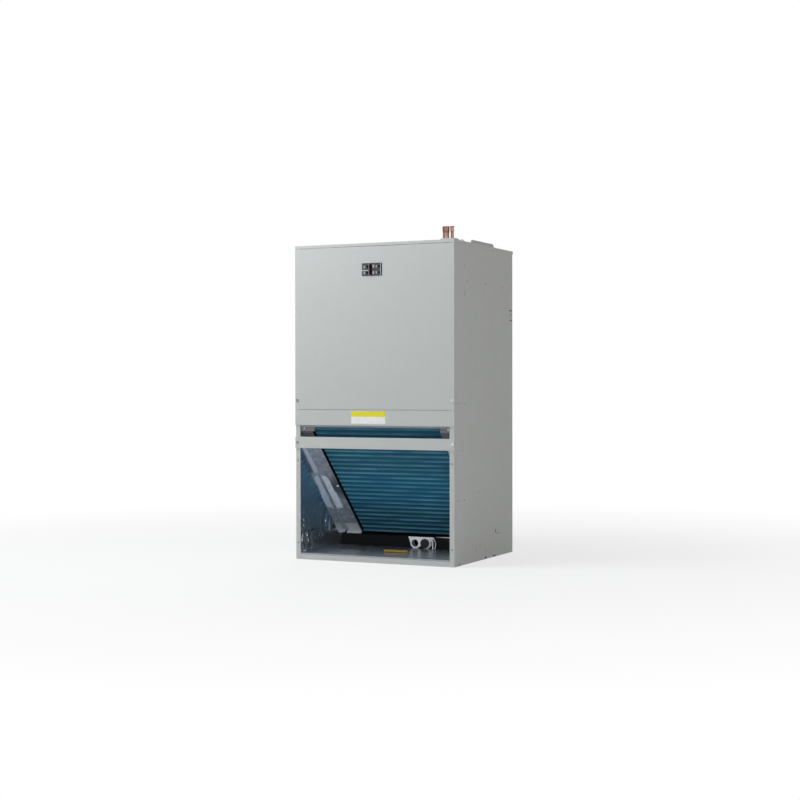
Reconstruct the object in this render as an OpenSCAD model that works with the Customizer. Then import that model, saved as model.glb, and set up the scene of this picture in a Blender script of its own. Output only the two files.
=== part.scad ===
/* [Cabinet] */
// Overall width, across the top panel's rims
cabinet_w = 535; // [500:1:600]
// Overall depth, from the face of the doors to the back rim
cabinet_d = 472; // [450:1:540]
// Height of the cabinet, without the line stubs
cabinet_h = 965; // [940:1:1060]
// Thickness of the sheet steel
sheet = 1.2; // [0.8:0.1:1.6]
// Width of the folded flanges at the front and back of the side panels
flange_w = 15; // [10:1:20]
// Height of the base pan's front rim
base_rim_h = 15; // [10:1:18]
// Height of the rim folded down round the top panel
top_rim_h = 9; // [6:1:14]
// Visible gap between neighbouring panels
panel_gap = 1; // [0.5:0.1:2]
// Gap between pieces that slip together
slip = 0.3; // [0.2:0.1:0.5]

/* [Doors and rail] */
// How far the doors and the rail stand off the flanges
door_depth = 3; // [2:0.5:5]
// Height of the seam between the two doors
door_seam_z = 462; // [450:1:480]
// Height of the filter door
filter_door_h = 48; // [40:1:60]
// Height of the open filter slot
slot_h = 36; // [30:1:40]
// Height of the rail under the filter slot
rail_h = 35; // [25:1:40]

/* [Breaker] */
// Width of the two-pole breaker's face
breaker_w = 67; // [60:0.5:80]
// Height of one pole of the breaker
pole_h = 19; // [17:0.5:22]
// Length of the breaker, front to back
breaker_d = 58; // [50:1:70]
// How far the breaker stands out of the door
breaker_proud = 1; // [0.5:0.5:3]
// Distance of the breaker's centre below the top of the cabinet
breaker_drop = 80; // [60:1:200]
// Sideways shift of the breaker from the middle
breaker_x = -2; // [-30:1:30]
// Width of the slot that a pole's lever swings in
lever_slot_w = 17; // [14:0.5:20]
// Height of the slot that a pole's lever swings in
lever_slot_h = 11; // [8:0.5:14]
// Depth of the slot that a pole's lever swings in
lever_slot_d = 4; // [2:0.5:6]
// Width of the handle that ties the two levers
handle_w = 7; // [5:0.5:9]
// How far the handle stands out of the breaker
handle_out = 5; // [3:0.5:8]
// Height of the plate that carries the breaker
control_plate_h = 86; // [70:1:100]

/* [Supply collar] */
// Distance of the supply opening from the sides
collar_inset = 45; // [40:1:70]
// Distance of the supply opening from the back
collar_back_inset = 43; // [35:1:60]
// Depth of the supply opening, front to back
collar_d = 211; // [200:1:220]
// Height of the four flaps folded up round the opening
collar_h = 20; // [12:1:20]

/* [Refrigerant lines] */
// Outside diameter of the suction line
suction_d = 19.05; // [15.9:0.05:22.2]
// Outside diameter of the liquid line
liquid_d = 9.5; // [6.4:0.1:12.7]
// Wall of the copper tubes
tube_wall = 0.9; // [0.7:0.1:1.2]
// Length of the swaged bells at the ends of the stubs
bell_l = 15; // [10:1:18]
// Height of the stubs above the top panel
stub_h = 40; // [30:1:60]
// Length of the stubs below the top panel
stub_depth = 45; // [20:1:100]
// Height of the suction line's elbow over the coil's top corner
suction_turn_rise = 62; // [55:1:80]
// Height of the liquid line's elbow over the coil's top corner
liquid_turn_rise = 82; // [60:1:120]
// Length of the suction header beside the coil
suction_header_l = 330; // [200:1:380]
// Length of the liquid header beside the coil
liquid_header_l = 150; // [100:1:380]
// Distance between the two lines
line_gap = 20; // [18:0.5:24]
// Distance of the lines from the front
line_inset = 22; // [20:1:30]
// Distance of the liquid line from the right side
line_side_inset = 15.5; // [14:0.5:18]
// Width of the raised plate that the lines pass through
line_plate_w = 44; // [42:1:60]
// Depth of the raised plate that the lines pass through
line_plate_d = 35; // [32:1:50]
// Height of the raised plate that the lines pass through
line_plate_h = 3.5; // [2:0.5:6]

/* [Insulation] */
// Thickness of the foil-faced lining on the walls
lining = 5; // [3:0.5:8]
// Height of the lined floor above the ground
floor_z = 20; // [19:0.5:26]

/* [Coil] */
// Slope of the coil from the horizontal
coil_angle = 46.5; // [44:0.5:48]
// Distance of the coil's top front corner below the seam between the doors
coil_top_drop = 54; // [50:1:58]
// Distance between neighbouring tubes along the slope
tube_pitch = 19.5; // [19:0.1:19.8]
// Number of tubes along the slope
tube_rows = 25; // [20:1:25]
// Number of tube rows through the coil
tube_layers = 3; // [2:1:3]
// Distance between tube rows through the coil
layer_pitch = 22; // [18:1:23]
// Distance between the lined walls and the ends of the fins
coil_end_gap = 45; // [42:1:60]
// Depth of the ripple along the edges of the fins
ripple = 6; // [3:0.5:7]
// How far the tube sheets sit behind the edges of the fins
tube_sheet_inset = 25; // [15:1:28]
// How far the block-off plates stand in front of the fins
block_off_front = 8; // [6:0.5:9]
// How far the left block-off plate covers the ends of the fins at its foot
block_off_cover = 12; // [8:0.5:14]
// How much narrower the left block-off plate is at its top
block_off_taper = 9; // [4:0.5:10]
// Depth of the lip folded out at the foot of the block-off plates
block_off_lip = 14; // [10:0.5:16]
// Length of the hanger tab on the left block-off plate
tab_l = 148; // [100:1:180]
// Width of the hanger tab
tab_w = 19.5; // [14:0.5:22]
// Distance of the hanger tab from the coil's top, along the slope
tab_start = 212; // [150:1:240]
// Distance of the hanger tab from the lined wall
tab_wall_gap = 6.5; // [5:0.5:8]

/* [Drain] */
// Distance of the drain pan's front wall from the doors
pan_inset = 289; // [275:1:300]
// Height of the drain pan
pan_h = 36; // [30:1:36]
// Wall of the drain pan
pan_wall = 3; // [2:0.5:4]
// Radius of the drain ports
port_r = 11.7; // [9:0.1:12.5]
// Wall of the drain ports
port_wall = 4; // [3:0.5:5]
// Length of the drain ports
port_l = 22; // [16:1:26]
// Distance between the two drain ports
port_gap = 35.5; // [34.5:0.5:40]
// Sideways place of the middle of the drain fitting
port_x = 32.5; // [-60:0.5:60]

/* [Blower] */
// Radius of the blower wheel
wheel_r = 115; // [100:1:120]
// Length of the blower wheel
wheel_w = 180; // [150:1:190]
// Number of blades
blade_count = 36; // [24:1:44]
// Depth of a blade
blade_d = 18; // [12:1:22]
// Thickness of a blade
blade_t = 1; // [0.8:0.1:1.5]
// Gap between the wheel and the scroll at the tongue
tongue_gap = 15; // [10:1:20]
// Growth of the scroll in each quarter turn
scroll_growth = 18; // [12:1:18]
// Gap between the wheel and the scroll's sides
wheel_side_gap = 10; // [6:1:14]
// Height of the throat between the scroll and the outlet
throat_h = 60; // [40:1:80]
// Radius of the inlets in the scroll's sides
inlet_r = 88; // [75:1:90]
// Radius of the blower motor
motor_r = 62; // [50:1:66]
// Length of the blower motor
motor_l = 120; // [90:1:130]
// Diameter of the motor's shaft
shaft_d = 12.7; // [10:0.1:16]

/* [Hidden] */

// Round shapes use this many steps
$fn = 48;
// Cutting shapes run this far past the faces they cut
cut = 1;

// The two ends of a stretch about its middle
function span(middle, half) = [middle - half, middle + half];

// Planes of the cabinet, from the outside in
x_out = cabinet_w / 2;
x_side = x_out - sheet;
x_in = x_side - sheet;
x_lined = x_in - lining;
x_flange = x_side - flange_w;
y_front = -cabinet_d / 2;
y_flange = y_front + door_depth;
y_flange_in = y_flange + sheet;
y_back = cabinet_d / 2;
y_back_panel = y_back - sheet;
y_back_flange = y_back_panel - sheet;
y_back_in = y_back_flange - sheet;
y_lined = y_back_in - lining;
z_roof = cabinet_h - sheet;
z_door_top = cabinet_h - top_rim_h - panel_gap;
z_filter = door_seam_z - filter_door_h;
z_rail_top = z_filter - slot_h;
z_rail = z_rail_top - rail_h;

// Screw holes in the front flanges, by height
flange_hole_r = 2.2;
flange_hole_z = [51, 304];
// Holes in the sides: distance from the front, then distance below the top or height over the floor
side_hole_r = 2.6;
high_holes = [[102, 118], [244, 118], [386, 118]];
low_holes = [[83, 481], [65, 340], [31, 194], [79, 193], [191, 208]];
side_holes = concat([for (p = high_holes) [p[0], cabinet_h - p[1]]], low_holes);
// Slots in the sides: the same two distances, then the length
side_slot_w = 3;
high_slots = [[84, 74, 14], [83, 153, 18]];
low_slots = [[168, 35, 12], [247, 28, 12]];
side_slots = concat([for (p = high_slots) [p[0], cabinet_h - p[1], p[2]]], low_slots);

// Breaker
breaker_z = cabinet_h - breaker_drop;
breaker_face = y_front - breaker_proud;
breaker_span = span(breaker_x, breaker_w / 2);

// Supply opening
collar_x = x_out - collar_inset;
collar_back = y_back - collar_back_inset;
collar_front = collar_back - collar_d;

// Height of the coil's top front corner
coil_top_z = door_seam_z - coil_top_drop;

// Line places
liquid_x = x_out - line_side_inset;
suction_x = liquid_x - line_gap;
line_y = y_front + line_inset;
stub_top = cabinet_h + stub_h;
stub_bottom = cabinet_h - stub_depth;
suction_turn_z = coil_top_z + suction_turn_rise;
liquid_turn_z = coil_top_z + liquid_turn_rise;

// Coil
fin_w = 2 * (x_lined - coil_end_gap);
coil_l = tube_pitch * tube_rows;
coil_t = layer_pitch * tube_layers;
baffle_in = y_flange_in + sheet;
coil_y = baffle_in + slip;
ripple_steps = 4;
block_off_lift = -block_off_front;
block_off_span = [block_off_front * tan(coil_angle) + sheet / 2 / cos(coil_angle), coil_l - 13.5];
block_off_top_z = coil_top_z - block_off_span[0] * sin(coil_angle) + block_off_lift * cos(coil_angle);
block_off_leg = 4.5;
block_off_rise = 12;
tab_step = 4;
tab_slot_edge = 1.5;

// Drain
pan_front = y_front + pan_inset;
pan_top = floor_z + pan_h;
port_out_r = port_r + port_wall;
port_z = floor_z + slip + port_out_r;
fitting_top_h = 3;
fitting_flare = 6;
fitting_web = 8;
port_rib = 1.2;
port_rib_w = 2;

// Blower: the scroll's four-centre spiral starts at the tongue, over the wheel's middle
scroll_r = wheel_r + tongue_gap;
scroll_x = wheel_w / 2 + wheel_side_gap;
scroll_half = scroll_growth / 2;
outlet_w = scroll_r + 3.5 * scroll_growth;
outlet_front = (collar_front + collar_back - outlet_w) / 2;
outlet_plate_z = z_roof - sheet;
outlet_rise = throat_h + scroll_r;
wheel_z = outlet_plate_z - outlet_rise;
wheel_y = outlet_front + scroll_half;
wheel_hub_r = 16;
wheel_hub_l = 30;
wheel_ring_d = 5;
disc_t = 2;
blade_steps = 4;
blade_inset = 1;
blade_lean = blade_d / 2;
arc_steps = 8;
hub_gap = 5;
motor_bevel = 9;
motor_band = 30;
arm_w = 18;
arm_t = 3;
arm_reach = 24;

module block(x, y, z) {
    translate([x[0], y[0], z[0]])
        cube([x[1] - x[0], y[1] - y[0], z[1] - z[0]]);
}

// A flat outline drawn in depth and height, extruded across the cabinet
module across(x) {
    translate([x[0], 0, 0])
        rotate([90, 0, 90])
            linear_extrude(x[1] - x[0])
                children();
}

// A shallow folded pan, open at the back
module pan_panel(z) {
    difference() {
        block([-x_out, x_out], [y_front, y_flange], z);
        block([-x_out + sheet, x_out - sheet], [y_front + sheet, y_flange + cut], [z[0] + sheet, z[1] - sheet]);
    }
}

// Distance along the slope first, height above the coil's lower face second
module on_coil() {
    translate([0, coil_y, coil_top_z])
        rotate([-coil_angle, 0, 0])
            children();
}

module base_panel() {
    color([0.69, 0.70, 0.70]) {
        block([-x_in, x_in], [y_flange_in, y_back_in], [0, sheet]);
        block([-x_flange + slip, x_flange - slip], [y_flange, y_flange_in], [0, base_rim_h]);
    }
}

// Right-hand side panel: one sheet with a flange folded in at the front and the back
module side_panel(hole_list, slot_list) {
    difference() {
        union() {
            block([x_in, x_side], [y_flange, y_back_flange], [0, z_roof]);
            block([x_flange, x_in], [y_flange, y_flange_in], [0, z_roof]);
            block([x_flange, x_in], [y_back_in, y_back_flange], [0, z_roof]);
        }
        for (z = flange_hole_z)
            translate([x_side - flange_w / 2, y_flange - cut, z])
                rotate([-90, 0, 0])
                    cylinder(r = flange_hole_r, h = sheet + 2 * cut);
        for (p = hole_list)
            translate([x_in - cut, y_front + p[0], p[1]])
                rotate([0, 90, 0])
                    cylinder(r = side_hole_r, h = sheet + 2 * cut);
        for (p = slot_list)
            block([x_in - cut, x_side + cut],
                  [y_front + p[0] - side_slot_w / 2, y_front + p[0] + side_slot_w / 2],
                  [p[1] - p[2] / 2, p[1] + p[2] / 2]);
    }
}

module right_side_panel() {
    color([0.62, 0.63, 0.63]) side_panel(side_holes, side_slots);
}

module left_side_panel() {
    color([0.62, 0.63, 0.63]) mirror([1, 0, 0]) side_panel(side_holes, side_slots);
}

module back_panel() {
    color([0.66, 0.67, 0.67]) block([-x_side, x_side], [y_back_flange, y_back_panel], [0, z_roof]);
}

// One flap of the supply collar with mitred ends, standing on the edge of the opening
module collar_flap(length) {
    rotate([90, 0, 0])
        linear_extrude(sheet)
            polygon([
                [-length / 2, 0], [length / 2, 0],
                [length / 2 - collar_h, collar_h], [collar_h - length / 2, collar_h]
            ]);
}

module top_panel() {
    middle_y = (collar_front + collar_back) / 2;
    color([0.74, 0.75, 0.75]) {
        difference() {
            block([-x_out, x_out], [y_front, y_back], [cabinet_h - top_rim_h, cabinet_h]);
            block([-x_side, x_side], [y_front + sheet, y_back_panel], [cabinet_h - top_rim_h - cut, z_roof]);
            block([-collar_x, collar_x], [collar_front, collar_back], [z_roof - cut, cabinet_h + cut]);
            translate([suction_x, line_y, z_roof - cut])
                cylinder(d = suction_d + 2 * slip, h = sheet + 2 * cut);
            translate([liquid_x, line_y, z_roof - cut])
                cylinder(d = liquid_d + 2 * slip, h = sheet + 2 * cut);
        }
        translate([0, collar_front, cabinet_h]) collar_flap(2 * collar_x);
        translate([0, collar_back + sheet, cabinet_h]) collar_flap(2 * collar_x);
        for (side = [-1, 1])
            translate([side * (collar_x + sheet / 2) - sheet / 2, middle_y, cabinet_h])
                rotate([0, 0, 90])
                    collar_flap(collar_d);
    }
}

// Cut for the breaker through a panel between two depths
module breaker_window(y) {
    block(breaker_span + [-slip, slip], y + [-cut, cut], span(breaker_z, pole_h + slip));
}

// The door's lower corners reach down to the filter door, so the seam shows only between them
module blower_door() {
    color([0.76, 0.77, 0.77]) {
        difference() {
            pan_panel([door_seam_z + panel_gap / 2, z_door_top]);
            breaker_window([y_front, y_flange]);
        }
        for (x = [[-x_out, -x_flange], [x_flange, x_out]])
            block(x, [y_front, y_flange], [door_seam_z - panel_gap / 2 + slip, door_seam_z + panel_gap / 2 + sheet]);
    }
}

module filter_door() {
    color([0.74, 0.75, 0.75]) pan_panel([z_filter, door_seam_z - panel_gap / 2]);
}

module front_rail() {
    color([0.74, 0.75, 0.75]) pan_panel([z_rail, z_rail_top]);
}

// Plate behind the filter door that closes the front of the coil's top end
module coil_front_baffle() {
    color([0.55, 0.56, 0.58]) block([-x_in, x_in], [y_flange_in, baffle_in], [coil_top_z, door_seam_z]);
}

// Plate behind the blower door that carries the breaker
module control_plate() {
    z = span(breaker_z, control_plate_h / 2);
    color([0.6, 0.61, 0.62])
        difference() {
            block([-x_in, x_in], [y_flange_in, y_flange_in + sheet], z);
            breaker_window([y_flange_in, y_flange_in + sheet]);
        }
}

// Two poles, one over the other, each with a slot for its lever
module circuit_breaker() {
    color([0.1, 0.1, 0.11])
        difference() {
            block(breaker_span, [breaker_face, breaker_face + breaker_d], span(breaker_z, pole_h));
            for (side = [-0.5, 0.5])
                block(span(breaker_x, lever_slot_w / 2), [breaker_face - cut, breaker_face + lever_slot_d],
                      span(breaker_z + side * pole_h, lever_slot_h / 2));
        }
}

// Two levers thrown to the left of their slots, tied by a tapered bar
module breaker_handle() {
    x_left = breaker_x - lever_slot_w / 2 + slip;
    lever_h = lever_slot_h / 2 - slip;
    color([0.06, 0.06, 0.06]) {
        for (side = [-0.5, 0.5])
            block([x_left, x_left + handle_w], [breaker_face - handle_out / 2, breaker_face + lever_slot_d],
                  span(breaker_z + side * pole_h, lever_h));
        translate([0, 0, breaker_z - pole_h / 2 - lever_h])
            linear_extrude(pole_h + 2 * lever_h)
                polygon([
                    [x_left, breaker_face - slip], [x_left + handle_w, breaker_face - slip],
                    [x_left + 0.8 * handle_w, breaker_face - handle_out],
                    [x_left + 0.2 * handle_w, breaker_face - handle_out]
                ]);
    }
}

module line_plate() {
    color([0.7, 0.71, 0.71])
        difference() {
            block([x_out - line_plate_w, x_out], [y_front, y_front + line_plate_d], [cabinet_h, cabinet_h + line_plate_h]);
            translate([suction_x, line_y, cabinet_h - cut])
                cylinder(d = suction_d + 2 * slip, h = line_plate_h + 2 * cut);
            translate([liquid_x, line_y, cabinet_h - cut])
                cylinder(d = liquid_d + 2 * slip, h = line_plate_h + 2 * cut);
        }
}

// Stub with a bell that takes a tube of its own size
module stub(d) {
    bell_r = d / 2 + tube_wall;
    color([0.72, 0.45, 0.32])
        rotate_extrude()
            polygon([
                [d / 2 - tube_wall, stub_bottom], [d / 2, stub_bottom],
                [d / 2, stub_top - bell_l - tube_wall], [bell_r, stub_top - bell_l],
                [bell_r, stub_top], [d / 2, stub_top],
                [d / 2, stub_top - bell_l], [d / 2 - tube_wall, stub_top - bell_l - tube_wall]
            ]);
}

// Line inside the cabinet: from its stub down to a ball elbow, then on as a header beside the coil
module inner_line(d, turn_z, header_l) {
    color([0.66, 0.4, 0.28])
        translate([0, 0, turn_z])
            difference() {
                union() {
                    cylinder(d = d, h = stub_bottom - turn_z);
                    sphere(d = d + 4 * tube_wall);
                    rotate([-90 - coil_angle, 0, 0])
                        cylinder(d = d, h = header_l);
                }
                translate([0, 0, d])
                    cylinder(d = d - 2 * tube_wall, h = stub_bottom - turn_z);
            }
}

module suction_stub() {
    translate([suction_x, line_y, 0]) stub(suction_d);
}

module liquid_stub() {
    translate([liquid_x, line_y, 0]) stub(liquid_d);
}

module suction_line() {
    translate([suction_x, line_y, 0]) inner_line(suction_d, suction_turn_z, suction_header_l);
}

module liquid_line() {
    translate([liquid_x, line_y, 0]) inner_line(liquid_d, liquid_turn_z, liquid_header_l);
}

module base_lining() {
    color([0.5, 0.52, 0.55]) block([-x_lined, x_lined], [y_flange_in, y_lined], [sheet, floor_z]);
}

module side_lining() {
    color([0.5, 0.52, 0.55]) block([x_lined, x_in], [baffle_in, y_lined], [sheet, door_seam_z]);
}

module right_lining() {
    side_lining();
}

module left_lining() {
    mirror([1, 0, 0]) side_lining();
}

module back_lining() {
    color([0.5, 0.52, 0.55]) block([-x_in, x_in], [y_lined, y_back_in], [sheet, door_seam_z]);
}

// Fin pack: the edge of every fin ripples once for each tube
module coil_fins() {
    steps = tube_rows * ripple_steps;
    function lower(i) = [i / ripple_steps * tube_pitch, ripple * (1 + cos(360 * i / ripple_steps)) / 2];
    function upper(i) = [lower(i)[0], coil_t - lower(i)[1]];
    color([0.12, 0.34, 0.42])
        on_coil()
            across([-fin_w / 2, fin_w / 2])
                polygon(concat([for (i = [0:steps]) lower(i)], [for (i = [steps:-1:0]) upper(i)]));
}

// Right tube sheet: a plate against the fins with a flange for the block-off plate
module tube_sheet() {
    color([0.62, 0.64, 0.66])
        on_coil() {
            block([fin_w / 2, fin_w / 2 + sheet], [0, coil_l], [tube_sheet_inset, coil_t]);
            block([fin_w / 2 + sheet, fin_w / 2 + sheet + flange_w], [0, coil_l],
                  [tube_sheet_inset, tube_sheet_inset + sheet]);
        }
}

module right_tube_sheet() {
    tube_sheet();
}

module left_tube_sheet() {
    mirror([1, 0, 0]) tube_sheet();
}

// A block-off plate closes the gap between the coil and the right wall. A leg ties it to the tube sheet,
// a lip is folded out at its foot, and a flange at its top lies against the front baffle.
module block_off(x_top, x_foot) {
    x_leg = fin_w / 2 + block_off_leg;
    on_coil() {
        translate([0, 0, block_off_lift])
            linear_extrude(sheet)
                polygon([[x_top, block_off_span[0]], [x_lined, block_off_span[0]],
                         [x_lined, block_off_span[1]], [x_foot, block_off_span[1]]]);
        block([x_leg, x_leg + sheet], block_off_span, [block_off_lift, tube_sheet_inset]);
        block([x_foot, x_lined - pan_wall - sheet], [block_off_span[1] - sheet, block_off_span[1]],
              [block_off_lift - block_off_lip, block_off_lift + sheet]);
    }
    block([x_foot - sheet / 2, x_lined - sheet / 2], [coil_y, coil_y + sheet],
          [block_off_top_z - sheet / 4, coil_top_z + block_off_rise]);
}

module right_block_off() {
    x_edge = fin_w / 2 + block_off_leg;
    color([0.62, 0.64, 0.66]) block_off(x_edge, x_edge);
}

// The left plate has a slot along the wall, beside the hanger tab
module left_block_off() {
    x_foot = fin_w / 2 - block_off_cover;
    color([0.62, 0.64, 0.66])
        difference() {
            mirror([1, 0, 0]) block_off(x_foot + block_off_taper, x_foot);
            on_coil()
                block([tab_slot_edge - x_lined, tab_wall_gap - x_lined], [tab_start, tab_start + tab_l],
                      [block_off_lift - cut, block_off_lift + sheet + cut]);
        }
}

// Tab that hangs the coil, with a rounded top corner and a stepped edge
module hanger_tab() {
    color([0.72, 0.74, 0.76])
        on_coil()
            translate([tab_wall_gap - x_lined, tab_start, block_off_lift - sheet])
                linear_extrude(sheet) {
                    translate([0, tab_w]) square([tab_w, tab_l - tab_w]);
                    translate([0, tab_l / 2]) square([tab_w + tab_step, tab_l / 2]);
                    intersection() {
                        translate([0, tab_w]) circle(r = tab_w);
                        square(tab_w);
                    }
                }
}

// Tray under the coil, drained through its front wall
module drain_pan() {
    color([0.03, 0.03, 0.03])
        difference() {
            block([-x_lined, x_lined], [pan_front, y_lined], [floor_z, pan_top]);
            block([pan_wall - x_lined, x_lined - pan_wall], [pan_front + pan_wall, y_lined - pan_wall],
                  [floor_z + pan_wall, pan_top + cut]);
            at_ports(pan_front - cut)
                cylinder(r = port_r - port_wall / 2, h = pan_wall + 2 * cut);
        }
}

// Places something on the axis of each drain port, facing back from the given depth
module at_ports(y) {
    for (side = [-0.5, 0.5])
        translate([port_x + side * port_gap, y, port_z])
            rotate([-90, 0, 0])
                children();
}

// Moulded fitting: two ribbed drain ports on a web that flares out to the top plate
module drain_fitting() {
    port_front = pan_front - port_l;
    half_w = port_gap / 2 + port_out_r;
    top_z = port_z + port_out_r;
    color([0.7, 0.72, 0.73])
        difference() {
            union() {
                at_ports(port_front)
                    cylinder(r = port_out_r, h = port_l);
                for (y = [port_front + 2 * port_rib_w, port_front + 4 * port_rib_w])
                    at_ports(y)
                        cylinder(r = port_out_r + port_rib, h = port_rib_w);
                translate([port_x, pan_front, port_z])
                    rotate([90, 0, 0])
                        linear_extrude(fitting_web)
                            polygon([[-half_w - fitting_flare, port_out_r], [-half_w + port_wall, -port_r / 2],
                                     [half_w - port_wall, -port_r / 2], [half_w + fitting_flare, port_out_r]]);
                block(span(port_x, half_w + fitting_flare), [port_front, pan_front],
                      [top_z - fitting_top_h / 2, top_z + fitting_top_h / 2]);
            }
            at_ports(port_front - cut)
                cylinder(r = port_r, h = port_l + 2 * cut);
        }
}

// Spiral of three quarter arcs, from the tongue round the front, bottom and back of the wheel
function arc(c, r, from, turn) =
    [for (i = [0:arc_steps]) c + r * [cos(from + turn * i / arc_steps), sin(from + turn * i / arc_steps)]];
function spiral(grow) = concat(
    arc([-scroll_half, -scroll_half], scroll_r + scroll_half + grow, 90, 90),
    arc([scroll_half, -scroll_half], scroll_r + scroll_half + scroll_growth + grow, 180, 90),
    arc([scroll_half, scroll_half], scroll_r + scroll_half + 2 * scroll_growth + grow, 270, 90)
);

module at_wheel() {
    translate([0, wheel_y, wheel_z]) children();
}

// Outline of the scroll's hollow with its throat, grown by the thickness of the sheet for the outside
module scroll_outline(grow) {
    polygon(spiral(grow));
    translate([-scroll_half - grow, scroll_half])
        square([outlet_w + 2 * grow, outlet_rise - scroll_half]);
}

module scroll_wrap() {
    color([0.62, 0.64, 0.66])
        at_wheel()
            across([-scroll_x, scroll_x])
                difference() {
                    scroll_outline(sheet);
                    scroll_outline(0);
                }
}

// Right side of the scroll, with the round inlet
module scroll_side() {
    color([0.62, 0.64, 0.66])
        at_wheel()
            difference() {
                across([scroll_x, scroll_x + sheet]) scroll_outline(sheet);
                translate([scroll_x - cut, 0, 0])
                    rotate([0, 90, 0])
                        cylinder(r = inlet_r, h = sheet + 2 * cut);
            }
}

module right_scroll_side() {
    scroll_side();
}

module left_scroll_side() {
    mirror([1, 0, 0]) scroll_side();
}

// Plate under the supply opening that the scroll hangs from
module outlet_plate() {
    color([0.62, 0.64, 0.66])
        difference() {
            block([-collar_x - flange_w, collar_x + flange_w], [collar_front - flange_w, collar_back + flange_w],
                  [outlet_plate_z, z_roof]);
            block([-scroll_x, scroll_x], [outlet_front, outlet_front + outlet_w],
                  [outlet_plate_z - cut, z_roof + cut]);
        }
}

// Outline of one blade, which leans further forward towards its outer edge
function blade_outline(inner_r) =
    let (
        middle = [for (i = [0:blade_steps]) let (t = i / blade_steps)
            [inner_r + blade_inset + (blade_d - 2 * blade_inset) * t, blade_lean * t * t]],
        half = [0, blade_t / 2]
    )
    concat([for (p = middle) p - half], [for (i = [blade_steps:-1:0]) middle[i] + half]);

// Wheel with forward-curved blades between two rings and a middle disc
module blower_wheel() {
    inner_r = wheel_r - blade_d;
    color([0.55, 0.57, 0.6])
        at_wheel()
            rotate([0, 90, 0])
                difference() {
                    union() {
                        for (z = [-wheel_w / 2, wheel_w / 2 - wheel_ring_d])
                            translate([0, 0, z])
                                difference() {
                                    cylinder(r = wheel_r, h = wheel_ring_d);
                                    translate([0, 0, -cut]) cylinder(r = inner_r, h = wheel_ring_d + 2 * cut);
                                }
                        translate([0, 0, -disc_t / 2]) cylinder(r = wheel_r - blade_d / 2, h = disc_t);
                        translate([0, 0, -wheel_hub_l / 2]) cylinder(r = wheel_hub_r, h = wheel_hub_l);
                        for (i = [0:blade_count - 1])
                            rotate([0, 0, 360 * i / blade_count])
                                translate([0, 0, wheel_ring_d / 2 - wheel_w / 2])
                                    linear_extrude(wheel_w - wheel_ring_d)
                                        polygon(blade_outline(inner_r));
                    }
                    translate([0, 0, -wheel_w]) cylinder(d = shaft_d + slip, h = 2 * wheel_w);
                }
}

// Motor in the left inlet, with its shaft through the wheel's hub
module blower_motor() {
    motor_end = -wheel_hub_l / 2 - hub_gap;
    color([0.12, 0.12, 0.13])
        at_wheel()
            rotate([0, 90, 0]) {
                translate([0, 0, motor_end - motor_l])
                    rotate_extrude()
                        polygon([
                            [0, 0], [motor_r - motor_bevel, 0], [motor_r, motor_bevel],
                            [motor_r, motor_l - motor_bevel], [motor_r - motor_bevel, motor_l], [0, motor_l]
                        ]);
                translate([0, 0, motor_end]) cylinder(d = shaft_d, h = wheel_hub_l + 2 * hub_gap);
            }
}

// Three arms that hold the motor to the left side of the scroll
module motor_arms() {
    x_foot = -scroll_x - sheet;
    color([0.5, 0.51, 0.53])
        at_wheel()
            rotate([0, 90, 0]) {
                translate([0, 0, x_foot - motor_band])
                    difference() {
                        cylinder(r = motor_r + arm_t, h = motor_band);
                        translate([0, 0, -cut]) cylinder(r = motor_r + slip / 2, h = motor_band + 2 * cut);
                    }
                for (i = [0:2])
                    rotate([0, 0, 120 * i])
                        translate([motor_r + arm_t / 2, -arm_w / 2, x_foot - arm_t])
                            cube([inlet_r + arm_reach - motor_r, arm_w, arm_t]);
            }
}

base_panel();
left_side_panel();
right_side_panel();
back_panel();
top_panel();
blower_door();
filter_door();
front_rail();
coil_front_baffle();
control_plate();
circuit_breaker();
breaker_handle();
line_plate();
suction_stub();
liquid_stub();
suction_line();
liquid_line();
base_lining();
left_lining();
right_lining();
back_lining();
coil_fins();
left_tube_sheet();
right_tube_sheet();
left_block_off();
right_block_off();
hanger_tab();
drain_pan();
drain_fitting();
outlet_plate();
scroll_wrap();
left_scroll_side();
right_scroll_side();
blower_wheel();
blower_motor();
motor_arms();
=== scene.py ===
"""Looks of an upright air handling unit: grey enamel, zinc sheet, bright foil, blue fins and copper."""

import math

import bmesh
import bpy
from mathutils import Matrix, Vector, noise


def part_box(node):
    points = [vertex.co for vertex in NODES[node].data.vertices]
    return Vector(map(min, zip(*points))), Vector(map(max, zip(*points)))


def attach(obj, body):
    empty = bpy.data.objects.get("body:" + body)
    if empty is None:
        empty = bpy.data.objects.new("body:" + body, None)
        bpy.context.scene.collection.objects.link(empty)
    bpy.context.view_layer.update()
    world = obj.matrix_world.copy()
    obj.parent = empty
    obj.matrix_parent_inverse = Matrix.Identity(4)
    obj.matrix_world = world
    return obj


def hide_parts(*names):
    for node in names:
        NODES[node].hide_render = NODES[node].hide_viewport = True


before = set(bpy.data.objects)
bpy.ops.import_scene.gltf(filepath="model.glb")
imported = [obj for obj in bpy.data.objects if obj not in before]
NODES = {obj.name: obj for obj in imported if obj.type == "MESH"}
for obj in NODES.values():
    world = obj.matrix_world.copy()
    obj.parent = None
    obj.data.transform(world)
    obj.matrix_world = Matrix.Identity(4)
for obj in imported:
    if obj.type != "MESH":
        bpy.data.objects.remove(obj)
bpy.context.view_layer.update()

MM = 0.001

# Places taken from the frame
X, Y, Z = Vector((1, 0, 0)), Vector((0, 1, 0)), Vector((0, 0, 1))
BLOWER_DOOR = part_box("blower_door")
FILTER_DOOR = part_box("filter_door")
RIGHT_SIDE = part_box("right_side_panel")
RIGHT_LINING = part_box("right_lining")
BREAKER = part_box("circuit_breaker")
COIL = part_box("coil_fins")
FLOOR_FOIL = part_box("base_lining")
LEFT_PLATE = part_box("left_block_off")

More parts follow.
